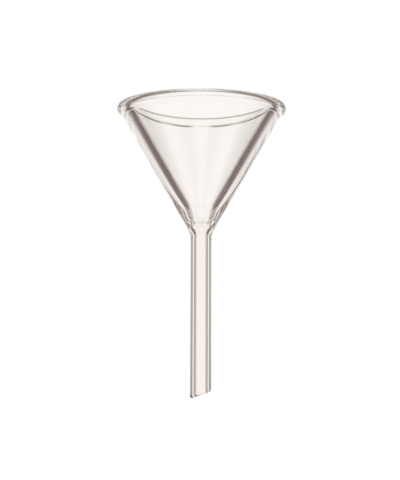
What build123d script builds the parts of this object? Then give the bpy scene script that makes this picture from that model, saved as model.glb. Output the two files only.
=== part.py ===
from build123d import *
import os
from math import cos, radians, sin, tan

# Filter funnel: a heavy-walled 60 degree glass cone with a beaded rim, flame-sealed to a flared stem.
# Z runs up the axis. The origin is where the stem's straight wall begins under the shoulder, which is
# as far as a stopper or a clamp can slide up the stem. The tip's long side is at -X.

# ---- driving dimensions, millimetres and degrees ----
rim_diameter = 65.0  # over the bead
cone_angle = 60.0  # included angle of the outer wall
cone_wall = 4.8  # square to the wall
bead_radius = 2.4  # section of the rolled rim bead
bead_proud = 0.85  # how far the bead stands outside the cone's wall
lip_flare = 26.0  # turn of the short lip that leads from the cone into the bead
rim_bevel = 1.8  # inner edge of the rim

stem_diameter = 8.0
bore_diameter = 4.2
stem_length = 62.7  # from where the lines of cone and stem cross, down to the tip's long side
shoulder_radius = 8.0  # outside, from the cone's slope into the stem

throat_diameter = 7.4  # where the bowl drains into the stem, at the seal
throat_length = 1.2  # straight part over the seal, where the inner cone's curve ends
seal_height = 4.2  # seal plane above the crossing of cone and stem lines
flare_height = 4.8  # inside, from the throat down to the full bore

tip_slant = 19.0  # oblique cut of the tip
tip_round = 0.5  # fire-polished edges of the tip

# ---- derived geometry ----
slope = radians(cone_angle / 2)
stem_radius = stem_diameter / 2
bore_radius = bore_diameter / 2
throat_radius = throat_diameter / 2

crossing_z = shoulder_radius * tan(slope / 2)  # so that the shoulder's curve ends at z = 0
apex_z = crossing_z - stem_radius / tan(slope)  # where the outer wall's lines would meet
seal_z = crossing_z + seal_height
bore_top_z = seal_z - flare_height
tip_z = crossing_z - stem_length


def on_wall(along, depth):
    """Radius and height of a point given along the outer slope from the apex, and into the glass."""
    return (
        along * sin(slope) - depth * cos(slope),
        apex_z + along * cos(slope) + depth * sin(slope),
    )


def radius_at(z, depth=0.0):
    """Radius of the cone's wall at a height, at a depth below its outer face."""
    return (z - apex_z) * tan(slope) - depth / cos(slope)


# ---- cone: wall, throat and rolled rim in one profile ----
seal_radius = radius_at(seal_z)
bead_depth = bead_radius - bead_proud  # bead's centre, below the outer face
bead_along = (rim_diameter / 2 - bead_radius + bead_depth * cos(slope)) / sin(slope)


def on_bead(angle):
    """Point on the bead's circle. Angle 0 points up the slope, and a right angle into the glass."""
    return on_wall(bead_along + bead_radius * cos(angle), bead_depth + bead_radius * sin(angle))


# the lip's line runs into the bead, and the bead ends where the rim turns square across the wall
lip_turn = radians(lip_flare)
bead_start = -radians(90) - lip_turn
lip_rise = (bead_radius * cos(lip_turn) - bead_depth) / tan(lip_turn)
lip_foot = on_wall(bead_along - bead_radius * sin(lip_turn) - lip_rise, 0)
rim_along = bead_along + bead_radius
bevel_top = on_wall(rim_along, cone_wall - rim_bevel)
bevel_foot = on_wall(rim_along - rim_bevel, cone_wall)

# the inner slope turns into the straight throat in one long arc
throat_corner_z = apex_z + (throat_radius + cone_wall / cos(slope)) / tan(slope)
throat_top = (throat_radius, seal_z + throat_length)
throat_tangent = throat_corner_z - throat_top[1]
throat_round = throat_tangent / tan(slope / 2)
slope_foot_z = throat_corner_z + throat_tangent * cos(slope)
slope_foot = (radius_at(slope_foot_z, cone_wall), slope_foot_z)

with BuildPart() as cone:
    with BuildSketch(Plane.XZ):
        with BuildLine():
            Line((seal_radius, seal_z), lip_foot)
            Line(lip_foot, on_bead(bead_start))
            ThreePointArc(on_bead(bead_start), on_bead(bead_start / 2), on_bead(0))
            Line(on_bead(0), bevel_top)
            Line(bevel_top, bevel_foot)
            Line(bevel_foot, slope_foot)
            RadiusArc(slope_foot, throat_top, -throat_round)
            Line(throat_top, (throat_radius, seal_z))
            Line((throat_radius, seal_z), (seal_radius, seal_z))
        make_face()
    revolve(axis=Axis.Z)

# ---- stem: flared top that carries on the cone's slope, straight tube, oblique polished tip ----
shoulder_top = (radius_at(shoulder_radius * sin(slope)), shoulder_radius * sin(slope))

# the bore opens out to the throat through two equal arcs, one each way
flare_step = throat_radius - bore_radius
flare_radius = (flare_height**2 + flare_step**2) / (4 * flare_step)
flare_middle = ((throat_radius + bore_radius) / 2, (seal_z + bore_top_z) / 2)

# the oblique cut passes through the outer wall's lowest point, on -X
short_side_z = tip_z + stem_diameter * tan(radians(tip_slant))
cut_normal = (sin(radians(tip_slant)), 0, -cos(radians(tip_slant)))
tip_cut = Plane(origin=(-stem_radius, 0, tip_z), z_dir=cut_normal)

with BuildPart() as stem:
    with BuildSketch(Plane.XZ):
        with BuildLine():
            Line((bore_radius, bore_top_z), (bore_radius, tip_z))
            Line((bore_radius, tip_z), (stem_radius, tip_z))
            Line((stem_radius, tip_z), (stem_radius, 0))
            RadiusArc((stem_radius, 0), shoulder_top, shoulder_radius)
            Line(shoulder_top, (seal_radius, seal_z))
            Line((seal_radius, seal_z), (throat_radius, seal_z))
            RadiusArc((throat_radius, seal_z), flare_middle, flare_radius)
            RadiusArc(flare_middle, (bore_radius, bore_top_z), -flare_radius)
        make_face()
    revolve(axis=Axis.Z)
    split(bisect_by=tip_cut, keep=Keep.BOTTOM)
    tip_face = stem.faces().sort_by(Axis.Z)[0]
    fillet(tip_face.edges(), radius=tip_round)

# ---- labels and files ----
cone.part.label = "cone"
stem.part.label = "stem"

os.makedirs("parts", exist_ok=True)
export_step(cone.part, "parts/cone.step")
export_step(stem.part, "parts/stem.step")

# the heights that mounts and openings are stated from
print(f"rim top {bevel_top[1]:.3f}, seal {seal_z:.3f}, full bore from {bore_top_z:.3f} down")
print(f"inner wall: radius {slope_foot[0]:.3f} at {slope_foot_z:.3f}")
print(f"inner wall: radius {bevel_foot[0]:.3f} at {bevel_foot[1]:.3f}")
print(f"tip: long side at {tip_z:.3f}, short side at {short_side_z:.3f}")
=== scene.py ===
import math

import bmesh
import bpy
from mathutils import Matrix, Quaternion, Vector


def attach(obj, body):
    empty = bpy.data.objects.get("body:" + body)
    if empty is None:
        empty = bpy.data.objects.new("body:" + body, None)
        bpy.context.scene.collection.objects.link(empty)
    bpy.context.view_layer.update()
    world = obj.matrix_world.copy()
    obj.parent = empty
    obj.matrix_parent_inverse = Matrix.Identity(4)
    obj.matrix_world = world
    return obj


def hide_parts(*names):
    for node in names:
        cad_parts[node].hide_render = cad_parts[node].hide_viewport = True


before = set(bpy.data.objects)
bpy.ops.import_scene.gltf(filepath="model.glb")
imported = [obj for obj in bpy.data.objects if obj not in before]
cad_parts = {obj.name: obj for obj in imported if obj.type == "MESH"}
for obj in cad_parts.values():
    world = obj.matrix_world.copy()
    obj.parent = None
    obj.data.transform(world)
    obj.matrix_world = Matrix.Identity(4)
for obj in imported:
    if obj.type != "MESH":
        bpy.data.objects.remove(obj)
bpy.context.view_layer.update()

mm = 0.001  # every size below is in millimetres, and the scene is in metres
plainWhite = (1.0, 1.0, 1.0, 1.0)
print("frame loaded, with", ", ".join(sorted(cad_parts)))

# what both pieces share: the slope of the wall, and the plane where cone and stem are sealed
funnel = {
    "halfAngle": 30.0,
    "apexHeight": -4.785,  # where the outer wall's lines would meet
    "sealHeight": 6.344,
    "throatRadius": 3.7,
    "roundSteps": 192,  # steps round the axis, the same on both pieces, so that their rings meet
    "sharpAngle": 40.0,  # edges that turn by less are shaded smooth
}
# how near counts as the same place, when points are picked or merged and when faces are found
near = {"point": 0.002, "double": 0.0005, "cut": 0.001, "seal": 0.01}
slope = math.radians(funnel["halfAngle"])


def onWall(along, depth):
    # radius and height of a point: along the outer slope from the apex, then into the glass
    radius = along * math.sin(slope) - depth * math.cos(slope)
    height = funnel["apexHeight"] + along * math.cos(slope) + depth * math.sin(slope)
    return radius, height


def alongAt(radius, depth):
    return (radius + depth * math.cos(slope)) / math.sin(slope)


# picks vertices in edit mode by their place
def pickVertices(piece, test):
    grid = bmesh.from_edit_mesh(piece.data)
    bpy.ops.mesh.select_mode(type="VERT")
    bpy.ops.mesh.select_all(action="DESELECT")
    for vertex in grid.verts:
        vertex.select = test(vertex.co)
    grid.select_flush_mode()
    bmesh.update_edit_mesh(piece.data)


def pickAt(piece, *places):
    reach = near["point"] * mm
    pickVertices(piece, lambda spot: any((spot - place).length < reach for place in places))


def drawOutline(name, corners):
    # each corner is a radius, a height, how much to round it and in how many steps
    places = [Vector((radius, 0, height)) * mm for radius, height, _, _ in corners]
    bpy.ops.object.select_all(action="DESELECT")
    bpy.ops.mesh.primitive_plane_add(size=mm)
    piece = bpy.context.active_object
    piece.name = name
    piece.data.name = name
    bpy.ops.object.mode_set(mode="EDIT")
    bpy.ops.mesh.select_mode(type="VERT")
    bpy.ops.mesh.select_all(action="SELECT")
    bpy.ops.mesh.merge(type="CENTER")
    bpy.ops.transform.translate(value=places[0])
    for start, end in zip(places, places[1:]):
        bpy.ops.mesh.extrude_vertices_move(TRANSFORM_OT_translate={"value": end - start})
    pickAt(piece, places[0], places[-1])
    bpy.ops.mesh.edge_face_add()
    for index, (_, _, rounding, steps) in enumerate(corners):
        if rounding:
            before = (places[index - 1] - places[index]).normalized()
            after = (places[(index + 1) % len(places)] - places[index]).normalized()
            turn = math.pi - before.angle(after)
            pickAt(piece, places[index])
            bpy.ops.mesh.bevel(
                offset=rounding * mm * math.tan(turn / 2),
                segments=steps,
                affect="VERTICES",
                clamp_overlap=False,
            )
    return piece


def spinOutline(piece):
    bpy.ops.mesh.select_all(action="SELECT")
    bpy.ops.mesh.spin(steps=funnel["roundSteps"], angle=math.tau, center=(0, 0, 0), axis=(0, 0, 1))
    bpy.ops.mesh.select_all(action="SELECT")
    bpy.ops.mesh.remove_doubles(threshold=near["double"] * mm)
    bpy.ops.mesh.normals_make_consistent(inside=False)


def finishMesh(piece):
    bpy.ops.mesh.select_all(action="SELECT")
    bpy.ops.mesh.normals_make_consistent(inside=False)
    bpy.ops.mesh.select_all(action="DESELECT")
    bpy.ops.object.mode_set(mode="OBJECT")
    bpy.ops.object.shade_smooth_by_angle(angle=math.radians(funnel["sharpAngle"]))
    print(piece.name, "has", len(piece.data.polygons), "faces")


# a heavy wall, a rolled rim bead with a round inner edge, and a long curve into the throat
cone = {
    "rimRadius": 32.5,
    "wall": 4.8,
    "beadRadius": 2.4,
    "beadProud": 0.85,
    "lipTurn": 26.0,  # degrees between the wall and the short lip that leads into the bead
    "lipShare": 0.98,  # of the bead's radius, so that the arcs of lip and bead don't cross
    "creaseRound": 1.0,
    "lipSteps": 6,
    "rimInsideRound": 3.0,
    "rimSteps": 20,
    "throatRound": 13.7,
    "throatSteps": 16,
}


def makeCone():
    sealRadius = (funnel["sealHeight"] - funnel["apexHeight"]) * math.tan(slope)
    beadDepth = cone["beadRadius"] - cone["beadProud"]
    beadAlong = alongAt(cone["rimRadius"] - cone["beadRadius"], beadDepth)
    rimAlong = beadAlong + cone["beadRadius"]
    lipTurn = math.radians(cone["lipTurn"])
    # the lip's line touches the bead's circle, and meets the wall and the bead's own outer line
    lipReach = cone["beadRadius"] * math.tan(lipTurn / 2)
    lipTop = beadAlong - lipReach
    lipFoot = lipTop - cone["beadProud"] / math.tan(lipTurn)
    throatAlong = alongAt(funnel["throatRadius"], cone["wall"])
    lipRound = cone["beadRadius"] * cone["lipShare"]
    corners = [
        (sealRadius, funnel["sealHeight"], 0, 0),
        (*onWall(lipFoot, 0), cone["creaseRound"], cone["lipSteps"]),
        (*onWall(lipTop, -cone["beadProud"]), lipRound, cone["lipSteps"]),
        (*onWall(rimAlong, -cone["beadProud"]), cone["beadRadius"], cone["rimSteps"]),
        (*onWall(rimAlong, cone["wall"]), cone["rimInsideRound"], cone["rimSteps"]),
        (*onWall(throatAlong, cone["wall"]), cone["throatRound"], cone["throatSteps"]),
        (funnel["throatRadius"], funnel["sealHeight"], 0, 0),
    ]
    piece = drawOutline("funnel_cone", corners)
    spinOutline(piece)
    finishMesh(piece)
    return piece


# a flared bore, an outer shoulder, a straight tube and an oblique fire-polished tip
stem = {
    "radius": 4.0,
    "boreRadius": 2.1,
    "tipHeight": -60.55,  # the long side, at -X
    "tipSlant": 19.0,
    "tipRound": 0.9,
    "tipSteps": 6,
    "cutOff": 3.0,  # spare length under the tip, which the oblique cut takes off
    "shoulderRound": 8.0,
    "flareHeight": 4.8,
    "flareShare": 0.999,  # the flare's two arcs stop just short of one another
    "curveSteps": 16,
}


def makeStem():
    sealHeight = funnel["sealHeight"]
    sealRadius = (sealHeight - funnel["apexHeight"]) * math.tan(slope)
    crossing = funnel["apexHeight"] + stem["radius"] / math.tan(slope)
    # two equal arcs, one each way, open the bore out to the throat
    step = funnel["throatRadius"] - stem["boreRadius"]
    flareRound = (stem["flareHeight"] ** 2 + step**2) / (4 * step)
    flareTurn = math.asin(stem["flareHeight"] / 2 / flareRound)
    reach = flareRound * math.tan(flareTurn / 2)
    spareEnd = stem["tipHeight"] - stem["cutOff"]
    arc, steps = flareRound * stem["flareShare"], stem["curveSteps"]
    corners = [
        (stem["boreRadius"], spareEnd, 0, 0),
        (stem["radius"], spareEnd, 0, 0),
        (stem["radius"], crossing, stem["shoulderRound"], steps),
        (sealRadius, sealHeight, 0, 0),
        (funnel["throatRadius"], sealHeight, 0, 0),
        (funnel["throatRadius"], sealHeight - reach, arc, steps),
        (stem["boreRadius"], sealHeight - stem["flareHeight"] + reach, arc, steps),
    ]
    piece = drawOutline("funnel_stem", corners)
    spinOutline(piece)
    # the oblique cut, closed again between its two rings and rounded
    slant = math.radians(stem["tipSlant"])
    cutPlace = Vector((-stem["radius"], 0, stem["tipHeight"])) * mm
    cutNormal = Vector((math.sin(slant), 0, -math.cos(slant)))
    bpy.ops.mesh.bisect(plane_co=cutPlace, plane_no=cutNormal, clear_outer=True)
    bpy.ops.mesh.bridge_edge_loops()
    pickVertices(piece, lambda spot: abs((spot - cutPlace).dot(cutNormal)) < near["cut"] * mm)
    bpy.ops.mesh.select_mode(type="EDGE")
    bpy.ops.mesh.region_to_loop()
    rounding, steps = stem["tipRound"] * mm, stem["tipSteps"]
    bpy.ops.mesh.bevel(offset=rounding, segments=steps, clamp_overlap=False)
    finishMesh(piece)
    return piece


conePiece = makeCone()
stemPiece = makeStem()
print("pieces made")


# one socket of a node tree, which can be written in sums
class Flow:
    def __init__(self, tree, socket):
        self.tree = tree
        self.socket = socket

    @staticmethod
    def node(tree, kind, settings=None, sockets=None, output=0):
        # settings come first, because they can change which sockets there are
        made = tree.nodes.new(kind)
        for name, value in (settings or {}).items():
            setattr(made, name, value)
        for name, value in (sockets or {}).items():
            if isinstance(value, Flow):
                tree.links.new(value.socket, made.inputs[name])
            else:
                made.inputs[name].default_value = value
        return Flow(tree, made.outputs[output]) if made.outputs else made

    def maths(self, operation, first, second=0.0):
        sockets = {0: first, 1: second}
        return Flow.node(self.tree, "ShaderNodeMath", {"operation": operation}, sockets)

    def __add__(self, other):
        return self.maths("ADD", self, other)

    def __radd__(self, other):
        return self.maths("ADD", other, self)

    def __sub__(self, other):
        return self.maths("SUBTRACT", self, other)

    def __rsub__(self, other):
        return self.maths("SUBTRACT", other, self)

    def __mul__(self, other):
        return self.maths("MULTIPLY", self, other)

    def __rmul__(self, other):
        return self.maths("MULTIPLY", other, self)

    def __neg__(self):
        return self.maths("MULTIPLY", self, -1.0)

    def __abs__(self):
        return self.maths("ABSOLUTE", self)


# the colour sockets of a Mix node come after those for numbers and vectors, so they go by place
def mixColours(factor, first, second):
    sockets = {0: factor, 6: first, 7: second}
    return Flow.node(factor.tree, "ShaderNodeMix", {"data_type": "RGBA"}, sockets, output=2)


def freshMaterial(name):
    material = bpy.data.materials.new(name)
    material.use_nodes = True
    material.node_tree.nodes.clear()
    return material, material.node_tree


# the two glasses differ in how they were worked: the cone in a mould, the stem by drawing
pressedGlass = {
    "bend": 1.473,  # refractive index of borosilicate glass
    "tints": ((0.975, 0.965, 0.95, 1.0), (1.0, 1.0, 0.995, 1.0)),
    "cloud": 70.0,  # patches of tint to the metre
    "grain": (1.0, 1.0, 0.5),
    "ripple": 160.0,  # waves left by the mould, to the metre
    "rippleDepth": 0.010,
    "wear": (0.0, 0.05),  # roughness where the surface is fresh and where it is handled most
}
drawnGlass = {
    "bend": 1.473,
    "tints": ((0.955, 0.94, 0.91, 1.0), (0.995, 0.99, 0.98, 1.0)),
    "cloud": 140.0,
    "grain": (1.0, 1.0, 0.04),  # drawing pulls every mark into a long streak
    "ripple": 900.0,
    "rippleDepth": 0.006,
    "wear": (0.02, 0.12),
}
marks = {
    "cloudDetail": 3.0,
    "rippleDetail": 1.0,
    "wearDetail": 4.0,
    "wearFineness": 2.0,  # marks of wear are this much finer than the ripple
    "wearFrom": 0.35,  # where in the noise the wear begins
    "wearTo": 0.75,
}
sealTrace = {
    "clear": plainWhite,
    "smoky": (0.86, 0.84, 0.82, 1.0),
    "cloud": 400.0,
    "level": 0.999,  # a face at the seal has a normal at least this upright
}


def makeGlass(name, look):
    material, tree = freshMaterial(name)
    place = Flow.node(tree, "ShaderNodeTexCoord", output="Object")
    drawn = Flow.node(tree, "ShaderNodeMapping", None, {"Vector": place, "Scale": look["grain"]})

    def noise(scale, detail):
        return Flow.node(tree, "ShaderNodeTexNoise", None, {
            "Vector": drawn, "Scale": scale, "Detail": detail,
        })

    tint = mixColours(noise(look["cloud"], marks["cloudDetail"]), *look["tints"])
    fresh, handled = look["wear"]
    wear = Flow.node(tree, "ShaderNodeMapRange", None, {
        "Value": noise(look["ripple"] * marks["wearFineness"], marks["wearDetail"]),
        "From Min": marks["wearFrom"], "From Max": marks["wearTo"],
        "To Min": fresh, "To Max": handled,
    })
    waves = Flow.node(tree, "ShaderNodeBump", None, {
        "Height": noise(look["ripple"], marks["rippleDetail"]),
        "Strength": 1.0, "Distance": look["rippleDepth"] * mm,
    })
    shader = Flow.node(tree, "ShaderNodeBsdfPrincipled", None, {
        "Base Color": tint,
        "Roughness": wear,
        "Normal": waves,
        "IOR": look["bend"],
        "Transmission Weight": 1.0,
    })
    Flow.node(tree, "ShaderNodeOutputMaterial", None, {"Surface": shader})
    return material


def makeSealMaterial():
    # the faces at the seal lie inside one body of glass, so light goes straight through them, but
    # for the faint trace that the flame leaves
    material, tree = freshMaterial("sealed_faces")
    place = Flow.node(tree, "ShaderNodeTexCoord", output="Object")
    patches = Flow.node(tree, "ShaderNodeTexNoise", None, {
        "Vector": place, "Scale": sealTrace["cloud"],
    })
    clear = Flow.node(tree, "ShaderNodeBsdfTransparent", None, {"Color": sealTrace["clear"]})
    smoky = Flow.node(tree, "ShaderNodeBsdfTransparent", None, {"Color": sealTrace["smoky"]})
    both = Flow.node(tree, "ShaderNodeMixShader", None, {0: patches, 1: clear, 2: smoky})
    Flow.node(tree, "ShaderNodeOutputMaterial", None, {"Surface": both})
    return material


sealMaterial = makeSealMaterial()
for piece, name, look in (
    (conePiece, "pressed_cone_glass", pressedGlass),
    (stemPiece, "drawn_stem_glass", drawnGlass),
):
    piece.data.materials.append(makeGlass(name, look))
    piece.data.materials.append(sealMaterial)
    sealed = 0
    for face in piece.data.polygons:
        offset = abs(face.center.z - funnel["sealHeight"] * mm)
        if abs(face.normal.z) > sealTrace["level"] and offset < near["seal"] * mm:
            face.material_index = 1
            sealed += 1
    print(piece.name, "has", sealed, "faces at the seal")
print("materials made")

# the room that the glass gathers is white with darker fields: the angles are in degrees, and
# each pair is where a field starts to change and where it has changed
backdrop = {
    "white": (0.98, 0.945, 0.92, 1.0),
    "table": (0.27, 0.24, 0.19, 1.0),  # ahead, below the horizon
    "tableTop": (19.0, 29.0),  # below the horizon, straight ahead
    "tableClimb": 0.38,  # how fast its edge climbs towards the sides
    "tableEnd": (31.0, 37.0),  # below the horizon, in the middle and far out
    "middle": (9.0, 13.0),
    "farOut": (46.0, 56.0),
    "flank": (0.40, 0.36, 0.315, 1.0),  # to the left and right, above the table's line
    "dark": (0.17, 0.122, 0.117, 1.0),  # to the left and right, below it and high up
    "side": (19.0, 38.0),  # off the straight view, where the flanks begin
    "away": (66.0, 86.0),  # and where they end
    "tableLine": (-4.0, 4.0),
    "flankTop": (22.0, 34.0),
    "flankEnd": (20.0, 28.0),  # below the horizon, far out
    "overhead": (0.26, 0.21, 0.18, 1.0),
    "above": (58.0, 72.0),
    "overheadAhead": (0.0, 0.08),  # not degrees but lengths out from the axis: dark ahead
    "overheadSides": (0.08, 0.2),  # and off to the sides, and white behind
}


def makeBackdrop():
    world = bpy.data.worlds.new("studio")
    bpy.context.scene.world = world
    world.use_nodes = True
    tree = world.node_tree
    tree.nodes.clear()

    def rising(value, limits):
        low, high = limits
        return Flow.node(tree, "ShaderNodeMapRange", {"interpolation_type": "SMOOTHSTEP"}, {
            "Value": value, "From Min": low, "From Max": high,
        })

    def beyond(angle, limits):
        return rising(angle, [math.radians(limit) for limit in limits])

    direction = Flow.node(tree, "ShaderNodeTexCoord")
    parts = Flow.node(tree, "ShaderNodeSeparateXYZ", None, {0: direction})
    x, y, z = (Flow(tree, socket) for socket in parts.socket.node.outputs)
    side = abs(x.maths("ARCTAN2", x, y))
    rise = z.maths("ARCSINE", z)
    above = beyond(rise, backdrop["above"])
    middle = 1 - beyond(side, backdrop["middle"])
    farOut = beyond(side, backdrop["farOut"])
    ended = beyond(-rise, backdrop["tableEnd"]) * middle.maths("MAXIMUM", middle, farOut)
    climb = side * (1 - beyond(side, backdrop["away"])) * backdrop["tableClimb"]
    below = beyond(climb - rise, backdrop["tableTop"])
    ahead = mixColours(below * (1 - ended), backdrop["white"], backdrop["table"])
    lit = beyond(rise, backdrop["tableLine"]) * (1 - beyond(rise, backdrop["flankTop"]))
    flank = mixColours(lit, backdrop["dark"], backdrop["flank"])
    around = side + rise.maths("MINIMUM", rise, 0.0)  # lower down, the flanks reach further round
    atSides = beyond(side, backdrop["side"]) * (1 - beyond(around, backdrop["away"]))
    atSides = atSides * (1 - above)
    atSides = atSides * (1 - farOut * beyond(-rise, backdrop["flankEnd"]))
    colour = mixColours(atSides, ahead, flank)
    overheadAhead = rising(y, backdrop["overheadAhead"])
    overheadSides = rising(abs(x), backdrop["overheadSides"])
    darkOverhead = above * overheadAhead.maths("MAXIMUM", overheadAhead, overheadSides)
    colour = mixColours(darkOverhead, colour, backdrop["overhead"])
    seen = Flow.node(tree, "ShaderNodeBackground", None, {"Color": plainWhite, "Strength": 1.0})
    room = Flow.node(tree, "ShaderNodeBackground", None, {"Color": colour, "Strength": 1.0})
    path = Flow.node(tree, "ShaderNodeLightPath")
    both = Flow.node(tree, "ShaderNodeMixShader", None, {0: path, 1: room, 2: seen})
    Flow.node(tree, "ShaderNodeOutputWorld", None, {"Surface": both})


makeBackdrop()

floor = {
    "height": -160.0,
    "radius": 100.0,
    "sides": 96,
    "colour": (0.82, 0.81, 0.79, 1.0),
    "glow": 0.75,  # how much of what is seen of it is plain white, which leaves a soft shadow
    "clear": (60.0, 95.0),  # where the shadow's part fades out towards the edge
}
lamp = {"size": 500.0, "height": 700.0, "side": -250.0, "front": -250.0, "power": 5.0}


def makeFloor():
    bpy.ops.object.select_all(action="DESELECT")
    bpy.ops.mesh.primitive_circle_add(
        vertices=floor["sides"],
        radius=floor["radius"] * mm,
        fill_type="NGON",
    )
    piece = bpy.context.active_object
    piece.name = "floor"
    bpy.ops.object.mode_set(mode="EDIT")
    bpy.ops.mesh.select_all(action="SELECT")
    bpy.ops.transform.translate(value=(0, 0, floor["height"] * mm))
    bpy.ops.object.mode_set(mode="OBJECT")
    material, tree = freshMaterial("pale_floor")
    place = Flow.node(tree, "ShaderNodeTexCoord", output="Object")
    # how far a point is from the floor's middle, with its height left out
    level = Flow.node(tree, "ShaderNodeVectorMath", {"operation": "MULTIPLY"}, {
        0: place, 1: (1, 1, 0),
    })
    reach = Flow.node(tree, "ShaderNodeVectorMath", {"operation": "LENGTH"}, {0: level}, "Value")
    start, end = (limit * mm for limit in floor["clear"])
    edge = Flow.node(tree, "ShaderNodeMapRange", None, {
        "Value": reach, "From Min": start, "From Max": end,
        "To Min": floor["glow"], "To Max": 1.0,
    })
    path = Flow.node(tree, "ShaderNodeLightPath")
    camera, glossy, through = (Flow(tree, path.socket.node.outputs[name]) for name in (
        "Is Camera Ray", "Is Glossy Ray", "Is Transmission Ray"))
    matt = Flow.node(tree, "ShaderNodeBsdfDiffuse", None, {"Color": floor["colour"]})
    white = Flow.node(tree, "ShaderNodeEmission", None, {"Color": plainWhite, "Strength": 1.0})
    seen = edge * camera.maths("MAXIMUM", camera, glossy.maths("MAXIMUM", glossy, through))
    both = Flow.node(tree, "ShaderNodeMixShader", None, {0: seen, 1: matt, 2: white})
    Flow.node(tree, "ShaderNodeOutputMaterial", None, {"Surface": both})
    piece.data.materials.append(material)


def placeLamp():
    light = bpy.data.lights.new("soft_lamp", "AREA")
    light.size = lamp["size"] * mm
    light.energy = lamp["power"]
    holder = bpy.data.objects.new("soft_lamp", light)
    bpy.context.scene.collection.objects.link(holder)
    holder.location = Vector((lamp["side"], lamp["front"], lamp["height"])) * mm
    holder.rotation_mode = "QUATERNION"
    holder.rotation_quaternion = (-holder.location).to_track_quat("-Z", "Y")
    holder.visible_glossy = False
    holder.visible_transmission = False


makeFloor()
placeLamp()
print("stage made")

lookout = {
    "distance": 570.0,
    "elevation": -4.8,  # degrees, so the camera stands below the funnel's middle and looks up
    "roll": 0.2,
    "frame": (400, 480),
    "frameHeight": 183.6,  # what the frame's height takes in at the funnel
    "apexPixel": (201.0, 252.2),  # where the wall's apex falls in the frame
    "sensor": 36.0,
    "nearest": 10.0,
    "bounces": 24,  # light crosses many walls of glass before it leaves
}


def placeCamera():
    camera = bpy.data.objects.new("camera", bpy.data.cameras.new("camera"))
    bpy.context.scene.collection.objects.link(camera)
    bpy.context.scene.camera = camera
    tilt = math.radians(lookout["elevation"])
    ahead = Vector((0, math.cos(tilt), -math.sin(tilt)))
    turned = ahead.to_track_quat("-Z", "Y") @ Quaternion((0, 0, 1), math.radians(lookout["roll"]))
    wide, tall = lookout["frame"]
    pixel = lookout["frameHeight"] / tall * mm
    across, down = lookout["apexPixel"]
    aim = Vector((0, 0, funnel["apexHeight"] * mm))
    aim += turned @ Vector((wide / 2 - across, down - tall / 2, 0)) * pixel
    camera.location = aim - ahead * lookout["distance"] * mm
    camera.rotation_mode = "QUATERNION"
    camera.rotation_quaternion = turned
    camera.data.sensor_width = lookout["sensor"]
    camera.data.lens = lookout["distance"] * lookout["sensor"] / lookout["frameHeight"]
    camera.data.clip_start = lookout["nearest"] * mm


placeCamera()
scene = bpy.context.scene
scene.view_settings.view_transform = "Standard"
scene.cycles.max_bounces = lookout["bounces"]
scene.cycles.transmission_bounces = lookout["bounces"]
scene.cycles.glossy_bounces = lookout["bounces"]
scene.cycles.transparent_max_bounces = lookout["bounces"]
print("camera placed")

# both pieces stand still, and each takes the place of its node
for piece, node in ((conePiece, "cone"), (stemPiece, "stem")):
    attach(piece, "root")
    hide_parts(node)
print("done")
